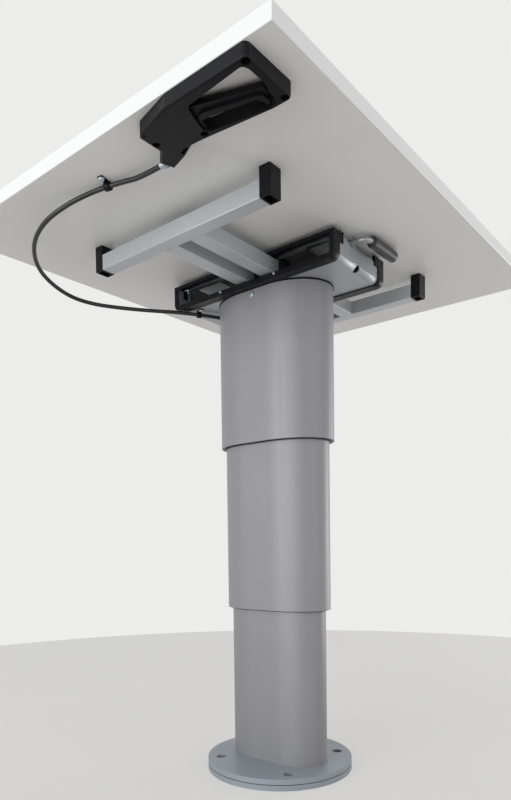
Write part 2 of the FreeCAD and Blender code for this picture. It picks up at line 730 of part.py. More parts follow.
def top_frame():
    half_bar = end_bar_length / 2
    for name, y0 in (("end_bar_front", front_bar_y), ("end_bar_rear", rear_bar_y - end_bar_depth)):
        nodes[name] = hollow_bar(frame_x - half_bar, frame_x + half_bar, y0, y0 + end_bar_depth,
                                 bar_bottom, bar_top, V(1, 0, 0))
    for name, side in (("long_bar_left", -1), ("long_bar_right", 1)):
        centre = frame_x + side * long_bar_spacing / 2
        nodes[name] = hollow_bar(centre - long_bar_width / 2, centre + long_bar_width / 2,
                                 front_bar_y + end_bar_depth, rear_bar_y - end_bar_depth,
                                 bar_bottom, bar_top, V(0, 1, 0))
    screws = []
    for row, y0 in (("front", front_bar_y), ("rear", rear_bar_y - end_bar_depth)):
        for column_side, side in (("left", -1), ("right", 1)):
            cap, screw = end_cap(side, y0)
            nodes["cap_" + row + "_" + column_side] = cap
            screws.append(screw)
    x0 = frame_x - board_length_x / 2
    board = box(x0, x0 + board_length_x, board_front_y, board_front_y + board_length_y, board_bottom, board_top)
    board = board.makeFillet(board_edge_round, edges_at(board, board_top) + edges_at(board, board_bottom))
    nodes["table_top"] = board
    return screws


def end_cap(side, y0):
    """Block at a bar's end that stands up to the board, with a screw in its hollow foot."""
    face_x = frame_x + side * end_bar_length / 2
    outer_x = face_x + side * cap_length
    x0, x1 = sorted((face_x, outer_x))
    c0, c1 = y0 - cap_proud, y0 + end_bar_depth + cap_proud
    cap = box(x0, x1, c0, c1, cap_bottom, board_bottom)
    outer_edges = [e for e in cap.Edges if abs(e.CenterOfMass.x - outer_x) < 0.01 or
                   (abs(e.CenterOfMass.z - cap_bottom) < 0.01 and abs(e.CenterOfMass.x - face_x) > 0.01)]
    outer_edges = [e for e in outer_edges if abs(e.CenterOfMass.z - board_bottom) > 0.01]
    cap = cap.makeFillet(cap_round, outer_edges)
    recess = box(x0 + cap_recess_wall, x1 - cap_recess_wall, c0 + cap_recess_wall, c1 - cap_recess_wall,
                 cap_bottom, cap_bottom + cap_recess)
    cap = cap.cut(recess)
    plug0, plug1 = sorted((face_x, face_x - side * cap_plug_length))
    plug = box(plug0, plug1, y0 + bar_wall, y0 + end_bar_depth - bar_wall, bar_bottom + bar_wall, bar_top - bar_wall)
    cap = fuse([cap, plug])
    middle_x = (x0 + x1) / 2
    middle_y = y0 + end_bar_depth / 2
    seat = V(middle_x, middle_y, cap_bottom + cap_recess)
    shank_length = board_bottom - seat.z + board_thickness * 0.7
    screw = pan_screw(seat, V(0, 0, -1), cap_screw_radius, shank_length, cap_screw_head_radius,
                      cap_screw_head_height)
    return cap.cut(screw), screw


def handle_outline():
    """Outline of the release handle in plan, anticlockwise from its front right corner."""
    front = handle_front_y
    back = front + handle_depth
    neck = front + handle_neck_depth
    left = handle_left_x
    return [
        (handle_right_x, front), (handle_right_x, back), (handle_right_x - 20.0, back),
        (left + 42.0, neck + 1.0), (left + 28.5, neck), (left + 12.0, neck + 7.5),
        (left - 9.0, back + 4.0), (left - 14.0, neck), (left, neck - 12.0),
        (left, front + 13.0), (left + 5.0, front + 9.0), (left + 46.0, front),
    ]


def handle():
    front = handle_front_y
    back = front + handle_depth
    outline = handle_outline()
    body = prism(outline, handle_bottom, board_bottom)
    big_corners = [e for e in upright_edges(body) if e.CenterOfMass.x > handle_right_x - 1.0]
    body = body.makeFillet(handle_wall + 2.0, big_corners)
    body = body.makeFillet(handle_round, edges_at(body, handle_bottom))

    # Hand opening, right through, with rounded corners
    right = handle_right_x - opening_wall_right
    opening = prism([
        (opening_left_x + 3.0, front + opening_wall_front + 4.5), (right - 2.0, front + opening_wall_front),
        (right, front + 12.5), (right, front + 29.0), (right - 5.5, back - opening_wall_back - 3.0),
        (right - 13.0, back - opening_wall_back), (opening_left_x - 6.0, back - 14.0),
        (opening_left_x - 9.5, front + 41.0), (opening_left_x - 7.5, front + 34.0),
        (opening_left_x - 4.0, front + 23.0), (opening_left_x - 0.5, front + 14.0),
    ], handle_bottom, board_bottom)
    opening = opening.makeFillet(opening_round, upright_edges(opening))

    # Hollow above the floor for the trigger's hub, arm and cable end
    left = handle_left_x
    pocket_floor = handle_bottom + handle_floor
    pocket = prism([
        (opening_left_x + 6.0, front + 12.0), (opening_left_x + 6.0, front + 40.0),
        (opening_left_x - 10.0, front + 38.0), (left + 28.0, front + 38.0), (left + 10.0, front + 47.0),
        (left - 4.0, front + 50.0), (left - 4.0, front + 44.0), (left + 8.0, front + 34.0),
        (left + 8.0, front + 16.0), (left + 20.0, front + 10.0), (opening_left_x - 8.0, front + 7.0),
    ], pocket_floor, board_bottom)
    body = cut(body, [opening, pocket])

    # Screws into the board, sunk in round recesses
    screw_places = [
        (handle_right_x - 4.4, front + 4.8), (handle_right_x - 5.0, back - 5.0),
        (opening_left_x - 12.0, front + handle_neck_depth - 4.5), (left + 4.8, front + 28.0),
    ]
    seat_z = handle_bottom + handle_screw_recess
    screws = []
    for x, y in screw_places:
        recess = cylinder(handle_screw_head_radius + running_clearance, handle_screw_recess, V(x, y, handle_bottom))
        length = board_bottom - seat_z + board_thickness * 0.7
        screw = pan_screw(V(x, y, seat_z), V(0, 0, -1), handle_screw_radius, length,
                          handle_screw_head_radius, handle_screw_head_height)
        body = cut(body, [recess, screw])
        screws.append(screw)

    # Small moulding hole and adjuster slot in the floor
    hole = cylinder(1.3, handle_floor, V(left + 6.5, front + 12.5, handle_bottom))
    slot = box(-5.5, 5.5, -1.4, 1.4, handle_bottom, pocket_floor)
    slot.rotate(V(0, 0, 0), V(0, 0, 1), -20)
    slot.translate(V(left + 18.5, front + 50.0, 0))
    body = cut(body, [hole, slot])

    # Threaded cable nipple in the boss
    axis_z = board_bottom - cable_axis_drop
    axis_y = back - nipple_setback
    mouth_x = left - 12.5
    thread = cylinder(nipple_radius, nipple_length, V(mouth_x + nipple_inset, axis_y, axis_z), V(-1, 0, 0))
    flange = cylinder(nipple_flange_radius, nipple_flange_length, V(mouth_x - 1.0, axis_y, axis_z), V(-1, 0, 0))
    nipple = fuse([thread, flange])
    socket_x = mouth_x + nipple_inset - nipple_length
    cable_end = cylinder(cable_diameter / 2, 6.0, V(socket_x, axis_y, axis_z), V(1, 0, 0))
    nodes["cable_nipple"] = nipple.cut(cable_end)
    body = body.cut(cylinder(nipple_radius, nipple_length, V(mouth_x + nipple_inset, axis_y, axis_z), V(-1, 0, 0)))
    body = body.cut(cylinder(nipple_flange_radius, nipple_flange_length + 2.0,
                             V(mouth_x - 1.0, axis_y, axis_z), V(-1, 0, 0)))

    # Trigger: a bar with hooked ends and a rim along its rear edge, which swings on its pin
    trigger_bottom = pocket_floor + 1.0
    trigger_top = trigger_bottom + trigger_thickness
    rear_edge = [
        (right - 11.2, front + 52.8), (right - 14.5, front + 52.8), (right - 16.2, front + 46.8),
        (right - 18.6, front + 42.8), (pivot_x + 15.0, pivot_y + 10.8), (pivot_x + 12.2, pivot_y + 13.0),
        (pivot_x + 11.4, pivot_y + 18.4), (pivot_x + 9.8, pivot_y + 18.4),
    ]
    bar = prism([
        (pivot_x - 1.0, pivot_y - 6.0), (pivot_x + 16.6, pivot_y - 4.7), (right - 6.3, front + 37.9),
        (right - 6.8, front + 43.4),
    ] + rear_edge + [(pivot_x + 8.0, pivot_y + 10.0), (pivot_x - 1.0, pivot_y + 6.0)],
        trigger_bottom, trigger_top)
    rim = prism([(right - 15.4, front + 39.5), (right - 11.1, front + 42.1), (right - 10.4, front + 48.8)]
                + rear_edge + [(pivot_x + 10.6, pivot_y + 12.0), (pivot_x + 14.0, pivot_y + 6.5),
                               (pivot_x + 19.8, pivot_y + 4.6)],
                trigger_bottom - trigger_rim_drop, trigger_bottom)
    hub = cylinder(trigger_hub_radius, trigger_thickness, V(pivot_x, pivot_y, trigger_bottom))
    arm = prism([
        (pivot_x, pivot_y + 5.0), (pivot_x - 24.0, pivot_y + 11.0), (pivot_x - 24.0, pivot_y + 5.0),
        (pivot_x, pivot_y - 5.0),
    ], trigger_bottom, trigger_top)
    bore = cylinder(trigger_pin_radius + 0.05, trigger_thickness, V(pivot_x, pivot_y, trigger_bottom))
    nodes["trigger"] = fuse([bar, rim, hub, arm]).cut(bore)
    pin = cylinder(trigger_pin_radius, board_bottom - pocket_floor, V(pivot_x, pivot_y, pocket_floor))
    nodes["trigger_pin"] = pin
    spring_z = trigger_top + running_clearance
    coil_radius = trigger_pin_radius + 2 * trigger_spring_wire
    coil = cylinder(coil_radius, trigger_spring_wire, V(pivot_x, pivot_y, spring_z))
    wall_leg = box(pivot_x - 14.0, pivot_x, pivot_y - coil_radius, pivot_y - coil_radius + trigger_spring_wire,
                   spring_z, spring_z + trigger_spring_wire)
    arm_leg = box(pivot_x, pivot_x + 14.0, pivot_y + coil_radius - trigger_spring_wire, pivot_y + coil_radius,
                  spring_z, spring_z + trigger_spring_wire)
    coil_bore = cylinder(trigger_pin_radius + 0.2, trigger_spring_wire, V(pivot_x, pivot_y, spring_z))
    nodes["trigger_spring"] = fuse([coil, wall_leg, arm_leg]).cut(coil_bore)
    nodes["handle_body"] = body
    return V(socket_x + 6.0, axis_y, axis_z), screws


def cord_tube(points, diameter, label):
    """Round tube along straight runs joined by tangent arcs through a list of points."""
    edges = []
    start = points[0]
    radii = []
    for i in range(1, len(points) - 1):
        before = points[i - 1] - points[i]
        after = points[i + 1] - points[i]
        turn = math.pi - before.getAngle(after)
        shorter = min(before.Length, after.Length)
        radius = 0.45 * shorter / math.tan(turn / 2)
        radii.append(radius)
        tangent = radius * math.tan(turn / 2)
        a = points[i] + before.normalize() * tangent
        b = points[i] + after.normalize() * tangent
        bisector = (before + after).normalize()
        centre_distance = radius / math.cos(turn / 2)
        mid = points[i] + bisector * (centre_distance - radius)
        edges.append(Part.LineSegment(start, a).toShape())
        edges.append(Part.Arc(a, mid, b).toShape())
        start = b
    edges.append(Part.LineSegment(start, points[-1]).toShape())
    path = Part.Wire(edges)
    heading = points[1] - points[0]
    section = Part.Wire(Part.makeCircle(diameter / 2, points[0], heading))
    tube = path.makePipeShell([section], True, False)
    expected = math.pi * diameter ** 2 / 4 * path.Length
    print(label, "length", round(path.Length, 1), "volume ratio", round(tube.Volume / expected, 4),
          "radii", [round(r) for r in radii])
    return tube


def heading(a, b):
    """Direction from a to b in plan, in degrees."""
    return math.degrees(math.atan2(b.y - a.y, b.x - a.x))


def p_clip(run_start, run_end, surface_z, tab_side):
    """Clip round the middle of a cable run, with a flat tab and its screw under a surface."""
    centre = (run_start + run_end) * 0.5
    inner = cable_diameter / 2
    outer = inner + clip_wall
    local = V(0, 0, centre.z)
    ring = cylinder(outer, clip_length, local - V(clip_length / 2, 0, 0), V(1, 0, 0))
    reach = tab_side * clip_tab_length
    y0, y1 = sorted((0.0, reach + tab_side * 3.0))
    tab = box(-clip_length / 2, clip_length / 2, y0, y1, surface_z - clip_tab_thickness, surface_z)
    hole = cylinder(inner, clip_length, local - V(clip_length / 2, 0, 0), V(1, 0, 0))
    neck = box(-clip_length / 2, clip_length / 2, -1.0, 1.0, centre.z + inner, surface_z)
    body = fuse([ring, tab, neck]).cut(hole)
    screw = pan_screw(V(0, reach, surface_z - clip_tab_thickness), V(0, 0, -1), clip_screw_radius, 1.0,
                      clip_screw_head_radius, clip_screw_head_height)
    shank = cylinder(clip_screw_radius, clip_tab_thickness, V(0, reach, surface_z - clip_tab_thickness))
    screw = fuse([screw, shank])
    body = body.cut(screw)
    for shape in (body, screw):
        shape.rotate(V(0, 0, 0), V(0, 0, 1), heading(run_start, run_end))
        shape.translate(V(centre.x, centre.y, 0))
    return body, screw


def control_cable(start):
    """Cable from the handle's nipple, round its free loop, to the stop behind the column."""
    clip_drop = cable_diameter / 2 + clip_wall
    board_clip_z = board_bottom - clip_drop
    tray_clip_z = tray_bottom - clip_drop
    turn_in = V(-166.9, -252.5, tray_bottom - 0.7)
    turn_out = V(-185.6, -202.9, tray_bottom - 6.8)
    loop_join = turn_in + (turn_out - turn_in) * cable_join_share
    half_gap = (turn_out - turn_in).normalize() * (cable_half_gap / 2)
    handle_half = [
        start, V(41.2, start.y, start.z), V(19.5, -274.7, board_clip_z), V(-17.9, -283.6, board_clip_z),
        V(-52.6, -295.1, board_bottom - 11.7), V(-91.4, -299.2, board_bottom - 20.8),
        V(-131.6, -285.3, board_bottom - 29.4), turn_in, loop_join - half_gap,
    ]
    tray_half = [
        loop_join + half_gap, turn_out, V(-182.6, -166.1, tray_bottom - 8.2),
        V(-164.3, -130.6, tray_bottom - 8.3), V(-143.0, -93.0, tray_bottom - 7.0),
        V(-124.0, -59.0, tray_clip_z), V(-97.0, -9.0, tray_clip_z),
        V(-92.5, 10.0, tray_clip_z), V(-83.0, 28.0, tray_clip_z),
    ]
    nodes["cable_handle_half"] = cord_tube(handle_half, cable_diameter, "handle half")
    nodes["cable_tray_half"] = cord_tube(tray_half, cable_diameter, "tray half")
    nodes["cable_clip_board"], board_screw = p_clip(handle_half[2], handle_half[3], board_bottom, 1)
    nodes["cable_clip_tray"], tray_screw = p_clip(tray_half[5], tray_half[6], tray_bottom, -1)
    stop = box(0.0, stop_length, -stop_width / 2, stop_width / 2, tray_bottom - stop_height, tray_bottom)
    stop.rotate(V(0, 0, 0), V(0, 0, 1), heading(tray_half[-2], tray_half[-1]))
    stop.translate(V(tray_half[-1].x, tray_half[-1].y, 0))
    nodes["cable_stop"] = stop
    return board_screw, tray_screw


floor_base()
column()
gas_springs()
tray()
rails()
carriage()
lock_lever()
cap_screws = top_frame()
cable_start, handle_screws = handle()
board_clip_screw, tray_clip_screw = control_cable(cable_start)
nodes["board_screws"] = Part.makeCompound(cap_screws + handle_screws + [board_clip_screw])
nodes["tray_small_screws"] = Part.makeCompound(nodes["tray_small_screws"].Solids + [tray_clip_screw])
nodes["table_top"] = nodes["table_top"].cut(nodes["board_screws"])

for name, shape in nodes.items():
    if not shape.isValid():
        print("invalid", name)
    shape.exportStep("parts/" + name + ".step")
print(len(nodes), "nodes, board top at", board_top)
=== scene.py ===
"""Looks of a height-adjustable pedestal table frame, seen from below its board.

Lengths are metres, in the part's own frame: +Z up, X along the tray, Y along the long bars.
The cable's routes are millimetres, as in the part's source.
"""
import json
import math

import bmesh
import bpy
from mathutils import Matrix, Vector

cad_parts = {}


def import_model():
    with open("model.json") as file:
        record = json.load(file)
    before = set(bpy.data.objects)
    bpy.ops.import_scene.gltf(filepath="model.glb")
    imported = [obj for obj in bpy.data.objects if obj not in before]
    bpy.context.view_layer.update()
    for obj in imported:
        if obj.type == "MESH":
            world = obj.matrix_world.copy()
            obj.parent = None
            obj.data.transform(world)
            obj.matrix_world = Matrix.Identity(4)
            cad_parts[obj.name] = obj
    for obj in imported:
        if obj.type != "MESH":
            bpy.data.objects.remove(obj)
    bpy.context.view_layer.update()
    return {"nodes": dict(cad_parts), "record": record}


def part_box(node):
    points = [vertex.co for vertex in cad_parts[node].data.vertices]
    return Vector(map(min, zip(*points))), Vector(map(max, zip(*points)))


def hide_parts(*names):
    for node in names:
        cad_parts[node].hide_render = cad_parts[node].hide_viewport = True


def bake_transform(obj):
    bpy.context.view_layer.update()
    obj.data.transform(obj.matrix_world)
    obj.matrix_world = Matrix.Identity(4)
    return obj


MM = 0.001

# Camera: place, angles in degrees and focal length that match the photograph's view.
# The photograph is taller than wide, so the sensor's size spans its height.
IMAGE_HEIGHT = 800
CAMERA_PLACE = Vector((0.5342, -0.6993, 0.3079))
CAMERA_YAW = 39.382
CAMERA_PITCH = -2.373
CAMERA_ROLL = -0.733
FOCAL_PIXELS = 633.7
OPTICAL_CENTRE_ROW = 571.4
SENSOR = 36.0
CLIP_START = 0.01

# Board's edge band: its thickness, and its tones against the face's, from the edge (0) to
# twice that thickness (1). The band is a touch lighter and ends in a darker glue line.
BAND_THICKNESS = 0.9 * MM
BAND_TONE = 1.06
GLUE_TONE = 0.72
BAND_STOPS = ((0.40, BAND_TONE), (0.46, GLUE_TONE), (0.54, GLUE_TONE), (0.62, 1.0))

# Small rounded edges that catch the light
EDGE_BREAK = 0.35 * MM
SMALL_EDGE_BREAK = 0.2 * MM
EDGE_SEGMENTS = 2
WELD_DISTANCE = 0.002 * MM
FLAT_ANGLE = math.radians(0.5)
SHARP_ANGLE = math.radians(35)
BROKEN_EDGES = (
    "end_bar_front", "end_bar_rear", "long_bar_left", "long_bar_right", "tray",
    "cap_front_left", "cap_front_right", "cap_rear_left", "cap_rear_right",
    "front_trim", "rear_trim", "handle_body", "trigger", "table_top",
)
SMALL_BROKEN_EDGES = (
    "cable_clip_board", "cable_clip_tray", "cable_stop", "trim_clips", "brake_bar",
    "guide_rails", "rail_bracket_left", "rail_bracket_right",
)

# Control cable, whose two halves meet in its free loop
CABLE_DIAMETER = 5 * MM
CABLE_BEVEL = 6
CABLE_ORDER = 3
CABLE_STEPS = 12
HANDLE_HALF_ROUTE = [
    (78.0, -271.0, 673.1), (41.2, -271.0, 673.1), (19.5, -274.7, 675.8),
    (-17.9, -283.6, 675.8), (-52.6, -295.1, 668.4), (-91.4, -299.2, 659.3),
    (-131.6, -285.3, 650.7), (-166.9, -252.5, 642.3), (-176.81, -226.21, 639.07),
]
TRAY_HALF_ROUTE = [
    (-176.81, -226.21, 639.07), (-185.6, -202.9, 636.2), (-182.6, -166.1, 634.8),
    (-164.3, -130.6, 634.7), (-143.0, -93.0, 636.0), (-124.0, -59.0, 638.7),
    (-97.0, -9.0, 638.7), (-92.5, 10.0, 638.7), (-83.0, 28.0, 638.7),
]

# Floor and light
FLOOR_RADIUS = 1.4
FLOOR_SIDES = 96
FLOOR_COLOUR = (0.70, 0.675, 0.64)
FLOOR_HAZE = 0.5
BACKGROUND = (0.84, 0.84, 0.835, 1)
AMBIENT_COLOUR = (0.98, 1.0, 1.03, 1)
AMBIENT = 0.5
COOL_WHITE = (0.96, 0.98, 1.0)
WHITE = (1, 1, 1)

# Textures, whose scales are cells per metre: the values that most of a noise lies between, how
# far streaks are drawn out (their scale along the metal), and how ragged fine lines are
NOISE_LOW = 0.3
NOISE_HIGH = 0.7
STREAK_SCALE = 0.02
LINE_RAGGEDNESS = 0.6

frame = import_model()
nodes = frame["nodes"]
bpy.context.scene.view_settings.view_transform = "Standard"


def maths(tree, operation, *operands):
    """Result of a Math node whose operands are numbers or other nodes' outputs."""
    made = tree.nodes.new("ShaderNodeMath")
    made.operation = operation
    for place, operand in zip(made.inputs, operands):
        if isinstance(operand, float):
            place.default_value = operand
        else:
            tree.links.new(operand, place)
    return made.outputs[0]


def grey(tone):
    """Opaque colour of one tone."""
    return (tone, tone, tone, 1)


def shown(thing):
    """Puts a new object into the scene."""
    bpy.context.scene.collection.objects.link(thing)
    return thing


class Shader:
    """One procedural material: a Principled shader and the nodes that feed it."""

    def __init__(self, name, colour, roughness, metallic=0.0, specular=0.5):
        self.material = bpy.data.materials.new(name)
        self.material.use_nodes = True
        self.tree = self.material.node_tree
        self.shader = self.tree.nodes["Principled BSDF"]
        self.shader.inputs["Metallic"].default_value = metallic
        self.shader.inputs["Specular IOR Level"].default_value = specular
        self.colour = colour
        self.roughness = roughness
        self.place = self.node("ShaderNodeTexCoord").outputs["Object"]
        self.relief = None

    def node(self, kind, **values):
        made = self.tree.nodes.new(kind)
        for name, value in values.items():
            setattr(made, name, value)
        return made

    def link(self, source, target):
        self.tree.links.new(source, target)

    def stretched(self, scale):
        """The object's coordinates, stretched by a scale per axis."""
        mapping = self.node("ShaderNodeMapping")
        mapping.inputs["Scale"].default_value = scale
        self.link(self.place, mapping.inputs["Vector"])
        return mapping.outputs["Vector"]

    def noise(self, scale, detail, raggedness=0.55, stretch=None):
        """Cloudy value over the object's place."""
        made = self.node("ShaderNodeTexNoise")
        made.inputs["Scale"].default_value = scale
        made.inputs["Detail"].default_value = detail
        made.inputs["Roughness"].default_value = raggedness
        self.link(self.stretched(stretch) if stretch else self.place, made.inputs["Vector"])
        return made.outputs["Fac"]

    def cells(self, scale):
        """Distance to the middles of scattered cells."""
        made = self.node("ShaderNodeTexVoronoi")
        made.inputs["Scale"].default_value = scale
        self.link(self.place, made.inputs["Vector"])
        return made.outputs["Distance"]

    def mix(self, kind, first, second, factor, **values):
        """Mix of two numbers or colours, with the second one's share as the factor."""
        made = self.node("ShaderNodeMix", data_type=kind, **values)
        made.inputs["Factor"].default_value = factor
        self.link(first, made.inputs["A"])
        self.link(second, made.inputs["B"])
        return made.outputs["Result"]

    def spread(self, value, low, high, start=NOISE_LOW, end=NOISE_HIGH):
        """A value between start and end, spread over low to high."""
        made = self.node("ShaderNodeMapRange")
        made.inputs["From Min"].default_value = start
        made.inputs["From Max"].default_value = end
        made.inputs["To Min"].default_value = low
        made.inputs["To Max"].default_value = high
        self.link(value, made.inputs["Value"])
        return made.outputs["Result"]

    def tint(self, value, dark, light):
        """Base colour that goes from dark to light shares of the material's colour."""
        ramp = self.node("ShaderNodeValToRGB")
        for stop, place, share in zip(ramp.color_ramp.elements, (NOISE_LOW, NOISE_HIGH),
                                      (dark, light)):
            stop.position = place
            stop.color = [c * share for c in self.colour] + [1]
        self.link(value, ramp.inputs["Fac"])
        self.link(ramp.outputs["Color"], self.shader.inputs["Base Color"])
        return ramp.outputs["Color"]

    def rough(self, value, swing):
        """Roughness that swings by so much to both sides of the material's own."""
        result = self.spread(value, self.roughness - swing, self.roughness + swing)
        self.link(result, self.shader.inputs["Roughness"])

    def bump(self, value, depth, strength):
        """Adds relief of a depth in metres on top of what is there."""
        made = self.node("ShaderNodeBump")
        made.inputs["Distance"].default_value = depth
        made.inputs["Strength"].default_value = strength
        self.link(value, made.inputs["Height"])
        if self.relief:
            self.link(self.relief, made.inputs["Normal"])
        self.relief = made.outputs["Normal"]
        self.link(self.relief, self.shader.inputs["Normal"])


def powder_coat(name, colour, roughness, metallic=0.0, drift=0.035):
    """Satin paint: slow drift of tone, fine speckle and the soft relief of a sprayed coat."""
    made = Shader(name, colour, roughness, metallic)
    made.tint(made.noise(scale=7.0, detail=4.0), 1 - drift, 1 + drift)
    made.rough(made.noise(scale=160.0, detail=3.0), swing=0.04)
    made.bump(made.noise(scale=900.0, detail=2.0), depth=0.03 * MM, strength=0.5)
    made.bump(made.noise(scale=2600.0, detail=1.0), depth=0.01 * MM, strength=0.5)
    return made.material


def drawn_profile(name, colour, roughness, metallic):
    """Drawn metal under a thin coat, with faint streaks along its length, the Z axis."""
    made = Shader(name, colour, roughness, metallic)
    streaks = made.noise(260.0, 3.0, LINE_RAGGEDNESS, (1.0, 1.0, STREAK_SCALE))
    clouds = made.noise(scale=9.0, detail=4.0)
    made.tint(made.mix("FLOAT", streaks, clouds, factor=0.6), dark=0.955, light=1.045)
    made.rough(streaks, swing=0.045)
    made.bump(streaks, depth=0.006 * MM, strength=0.35)
    made.bump(made.noise(scale=1500.0, detail=2.0), depth=0.012 * MM, strength=0.45)
    return made.material


def moulded_plastic(name, colour, roughness, specular, grain=1700.0):
    """Moulded plastic with an eroded grain that breaks up its highlights."""
    made = Shader(name, colour, roughness, specular=specular)
    made.tint(made.noise(scale=35.0, detail=5.0), dark=0.82, light=1.25)
    made.rough(made.noise(scale=90.0, detail=4.0), swing=0.07)
    made.bump(made.cells(grain), depth=0.035 * MM, strength=0.55)
    made.bump(made.noise(scale=grain * 0.4, detail=3.0), depth=0.028 * MM, strength=0.4)
    return made.material


def bright_metal(name, colour, roughness, stretch):
    """Plated or drawn metal with fine directional lines."""
    made = Shader(name, colour, roughness, metallic=1.0)
    lines = made.noise(420.0, 3.0, LINE_RAGGEDNESS, stretch)
    made.tint(made.noise(scale=60.0, detail=4.0), dark=0.86, light=1.1)
    made.rough(lines, swing=0.08)
    made.bump(lines, depth=0.008 * MM, strength=0.4)
    return made.material


def laminate():
    """White laminate with a fine pearl finish, and an edge band with its thin glue line."""
    made = Shader("white_laminate", (0.8, 0.797, 0.785), roughness=0.42)
    face = made.tint(made.noise(scale=5.0, detail=3.0), dark=0.985, light=1.012)
    low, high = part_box("table_top")
    parts = made.node("ShaderNodeSeparateXYZ")
    made.link(made.place, parts.inputs["Vector"])
    gaps = []
    for axis in range(2):
        centre = (low[axis] + high[axis]) / 2
        half = (high[axis] - low[axis]) / 2
        offset = maths(made.tree, "SUBTRACT", parts.outputs[axis], centre)
        gaps.append(maths(made.tree, "SUBTRACT", half, maths(made.tree, "ABSOLUTE", offset)))
    nearest = maths(made.tree, "MINIMUM", *gaps)
    ramp = made.node("ShaderNodeValToRGB")
    stops = ramp.color_ramp.elements
    stops[0].color = grey(BAND_TONE)
    stops[1].color = grey(1.0)
    for position, tone in BAND_STOPS:
        stops.new(position).color = grey(tone)
    made.link(made.spread(nearest, 0.0, 1.0, 0.0, 2 * BAND_THICKNESS), ramp.inputs["Fac"])
    banded = made.mix("RGBA", face, ramp.outputs["Color"], factor=1.0, blend_type="MULTIPLY")
    made.link(banded, made.shader.inputs["Base Color"])
    made.rough(made.noise(scale=120.0, detail=3.0), swing=0.05)
    made.bump(made.noise(scale=1300.0, detail=2.0), depth=0.02 * MM, strength=0.5)
    made.bump(made.noise(scale=60.0, detail=2.0), depth=0.05 * MM, strength=0.12)
    return made.material


def cable_jacket():
    """Smooth extruded jacket with a faint bloom."""
    made = Shader("cable_jacket", (0.016, 0.016, 0.018), roughness=0.36)
    made.tint(made.noise(scale=120.0, detail=4.0), dark=0.8, light=1.5)
    made.rough(made.noise(scale=300.0, detail=3.0), swing=0.09)
    made.bump(made.noise(scale=900.0, detail=2.0), depth=0.02 * MM, strength=0.4)
    return made.material


def dress(piece, look):
    """Gives every material slot of a piece one look."""
    if not piece.material_slots:
        piece.data.materials.append(look)
    for place in piece.material_slots:
        place.link = "OBJECT"
        place.material = look


def break_edges(name, width):
    """Small rounded edges that catch the light on a node's sharp corners."""
    piece = nodes[name]
    weld = piece.modifiers.new("weld", "WELD")
    weld.merge_threshold = WELD_DISTANCE
    flat = piece.modifiers.new("flat", "DECIMATE")
    flat.decimate_type = "DISSOLVE"
    flat.angle_limit = FLAT_ANGLE
    bevel = piece.modifiers.new("edges", "BEVEL")
    bevel.width = width
    bevel.segments = EDGE_SEGMENTS
    bevel.limit_method = "ANGLE"
    bevel.angle_limit = SHARP_ANGLE
    bevel.harden_normals = True


def cable_half(name, route, node):
    """Mesh tube on the route's smooth NURBS line."""
    data = bpy.data.curves.new(name + "_line", "CURVE")
    data.dimensions = "3D"
    spline = data.splines.new("NURBS")
    spline.points.add(len(route) - 1)
    for point, place in zip(spline.points, route):
        point.co = (*[c * MM for c in place], 1)
    spline.order_u = CABLE_ORDER
    spline.use_endpoint_u = True
    spline.resolution_u = CABLE_STEPS
    line = shown(bpy.data.objects.new(name + "_line", data))
    path = [tuple(v.co) for v in bpy.data.meshes.new_from_object(line).vertices]
    data.bevel_depth = CABLE_DIAMETER / 2
    data.bevel_resolution = CABLE_BEVEL
    data.use_fill_caps = True
    mesh = bpy.data.meshes.new_from_object(line)
    bpy.data.objects.remove(line)
    tube = shown(bpy.data.objects.new(name, mesh))
    for face in mesh.polygons:
        face.use_smooth = True
    dress(tube, looks["cable_black"])
    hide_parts(node)
    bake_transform(tube)


def camera():
    """The photograph's camera: principal point low in the picture, slight pitch and roll."""
    yaw, pitch, roll = (math.radians(a) for a in (CAMERA_YAW, CAMERA_PITCH, CAMERA_ROLL))
    ahead = Vector((-math.sin(yaw) * math.cos(pitch), math.cos(yaw) * math.cos(pitch),
                    math.sin(pitch)))
    right = ahead.cross(Vector((0, 0, 1))).normalized()
    up = right.cross(ahead)
    side = right * math.cos(roll) + up * math.sin(roll)
    top = up * math.cos(roll) - right * math.sin(roll)
    turn = Matrix((side, top, -ahead)).transposed().to_4x4()
    data = bpy.data.cameras.new("camera")
    data.sensor_width = SENSOR
    data.lens = FOCAL_PIXELS / IMAGE_HEIGHT * SENSOR
    data.shift_y = (OPTICAL_CENTRE_ROW - IMAGE_HEIGHT / 2) / IMAGE_HEIGHT
    data.clip_start = CLIP_START
    made = bpy.data.objects.new("camera", data)
    made.matrix_world = Matrix.Translation(CAMERA_PLACE) @ turn
    bpy.context.scene.camera = shown(made)


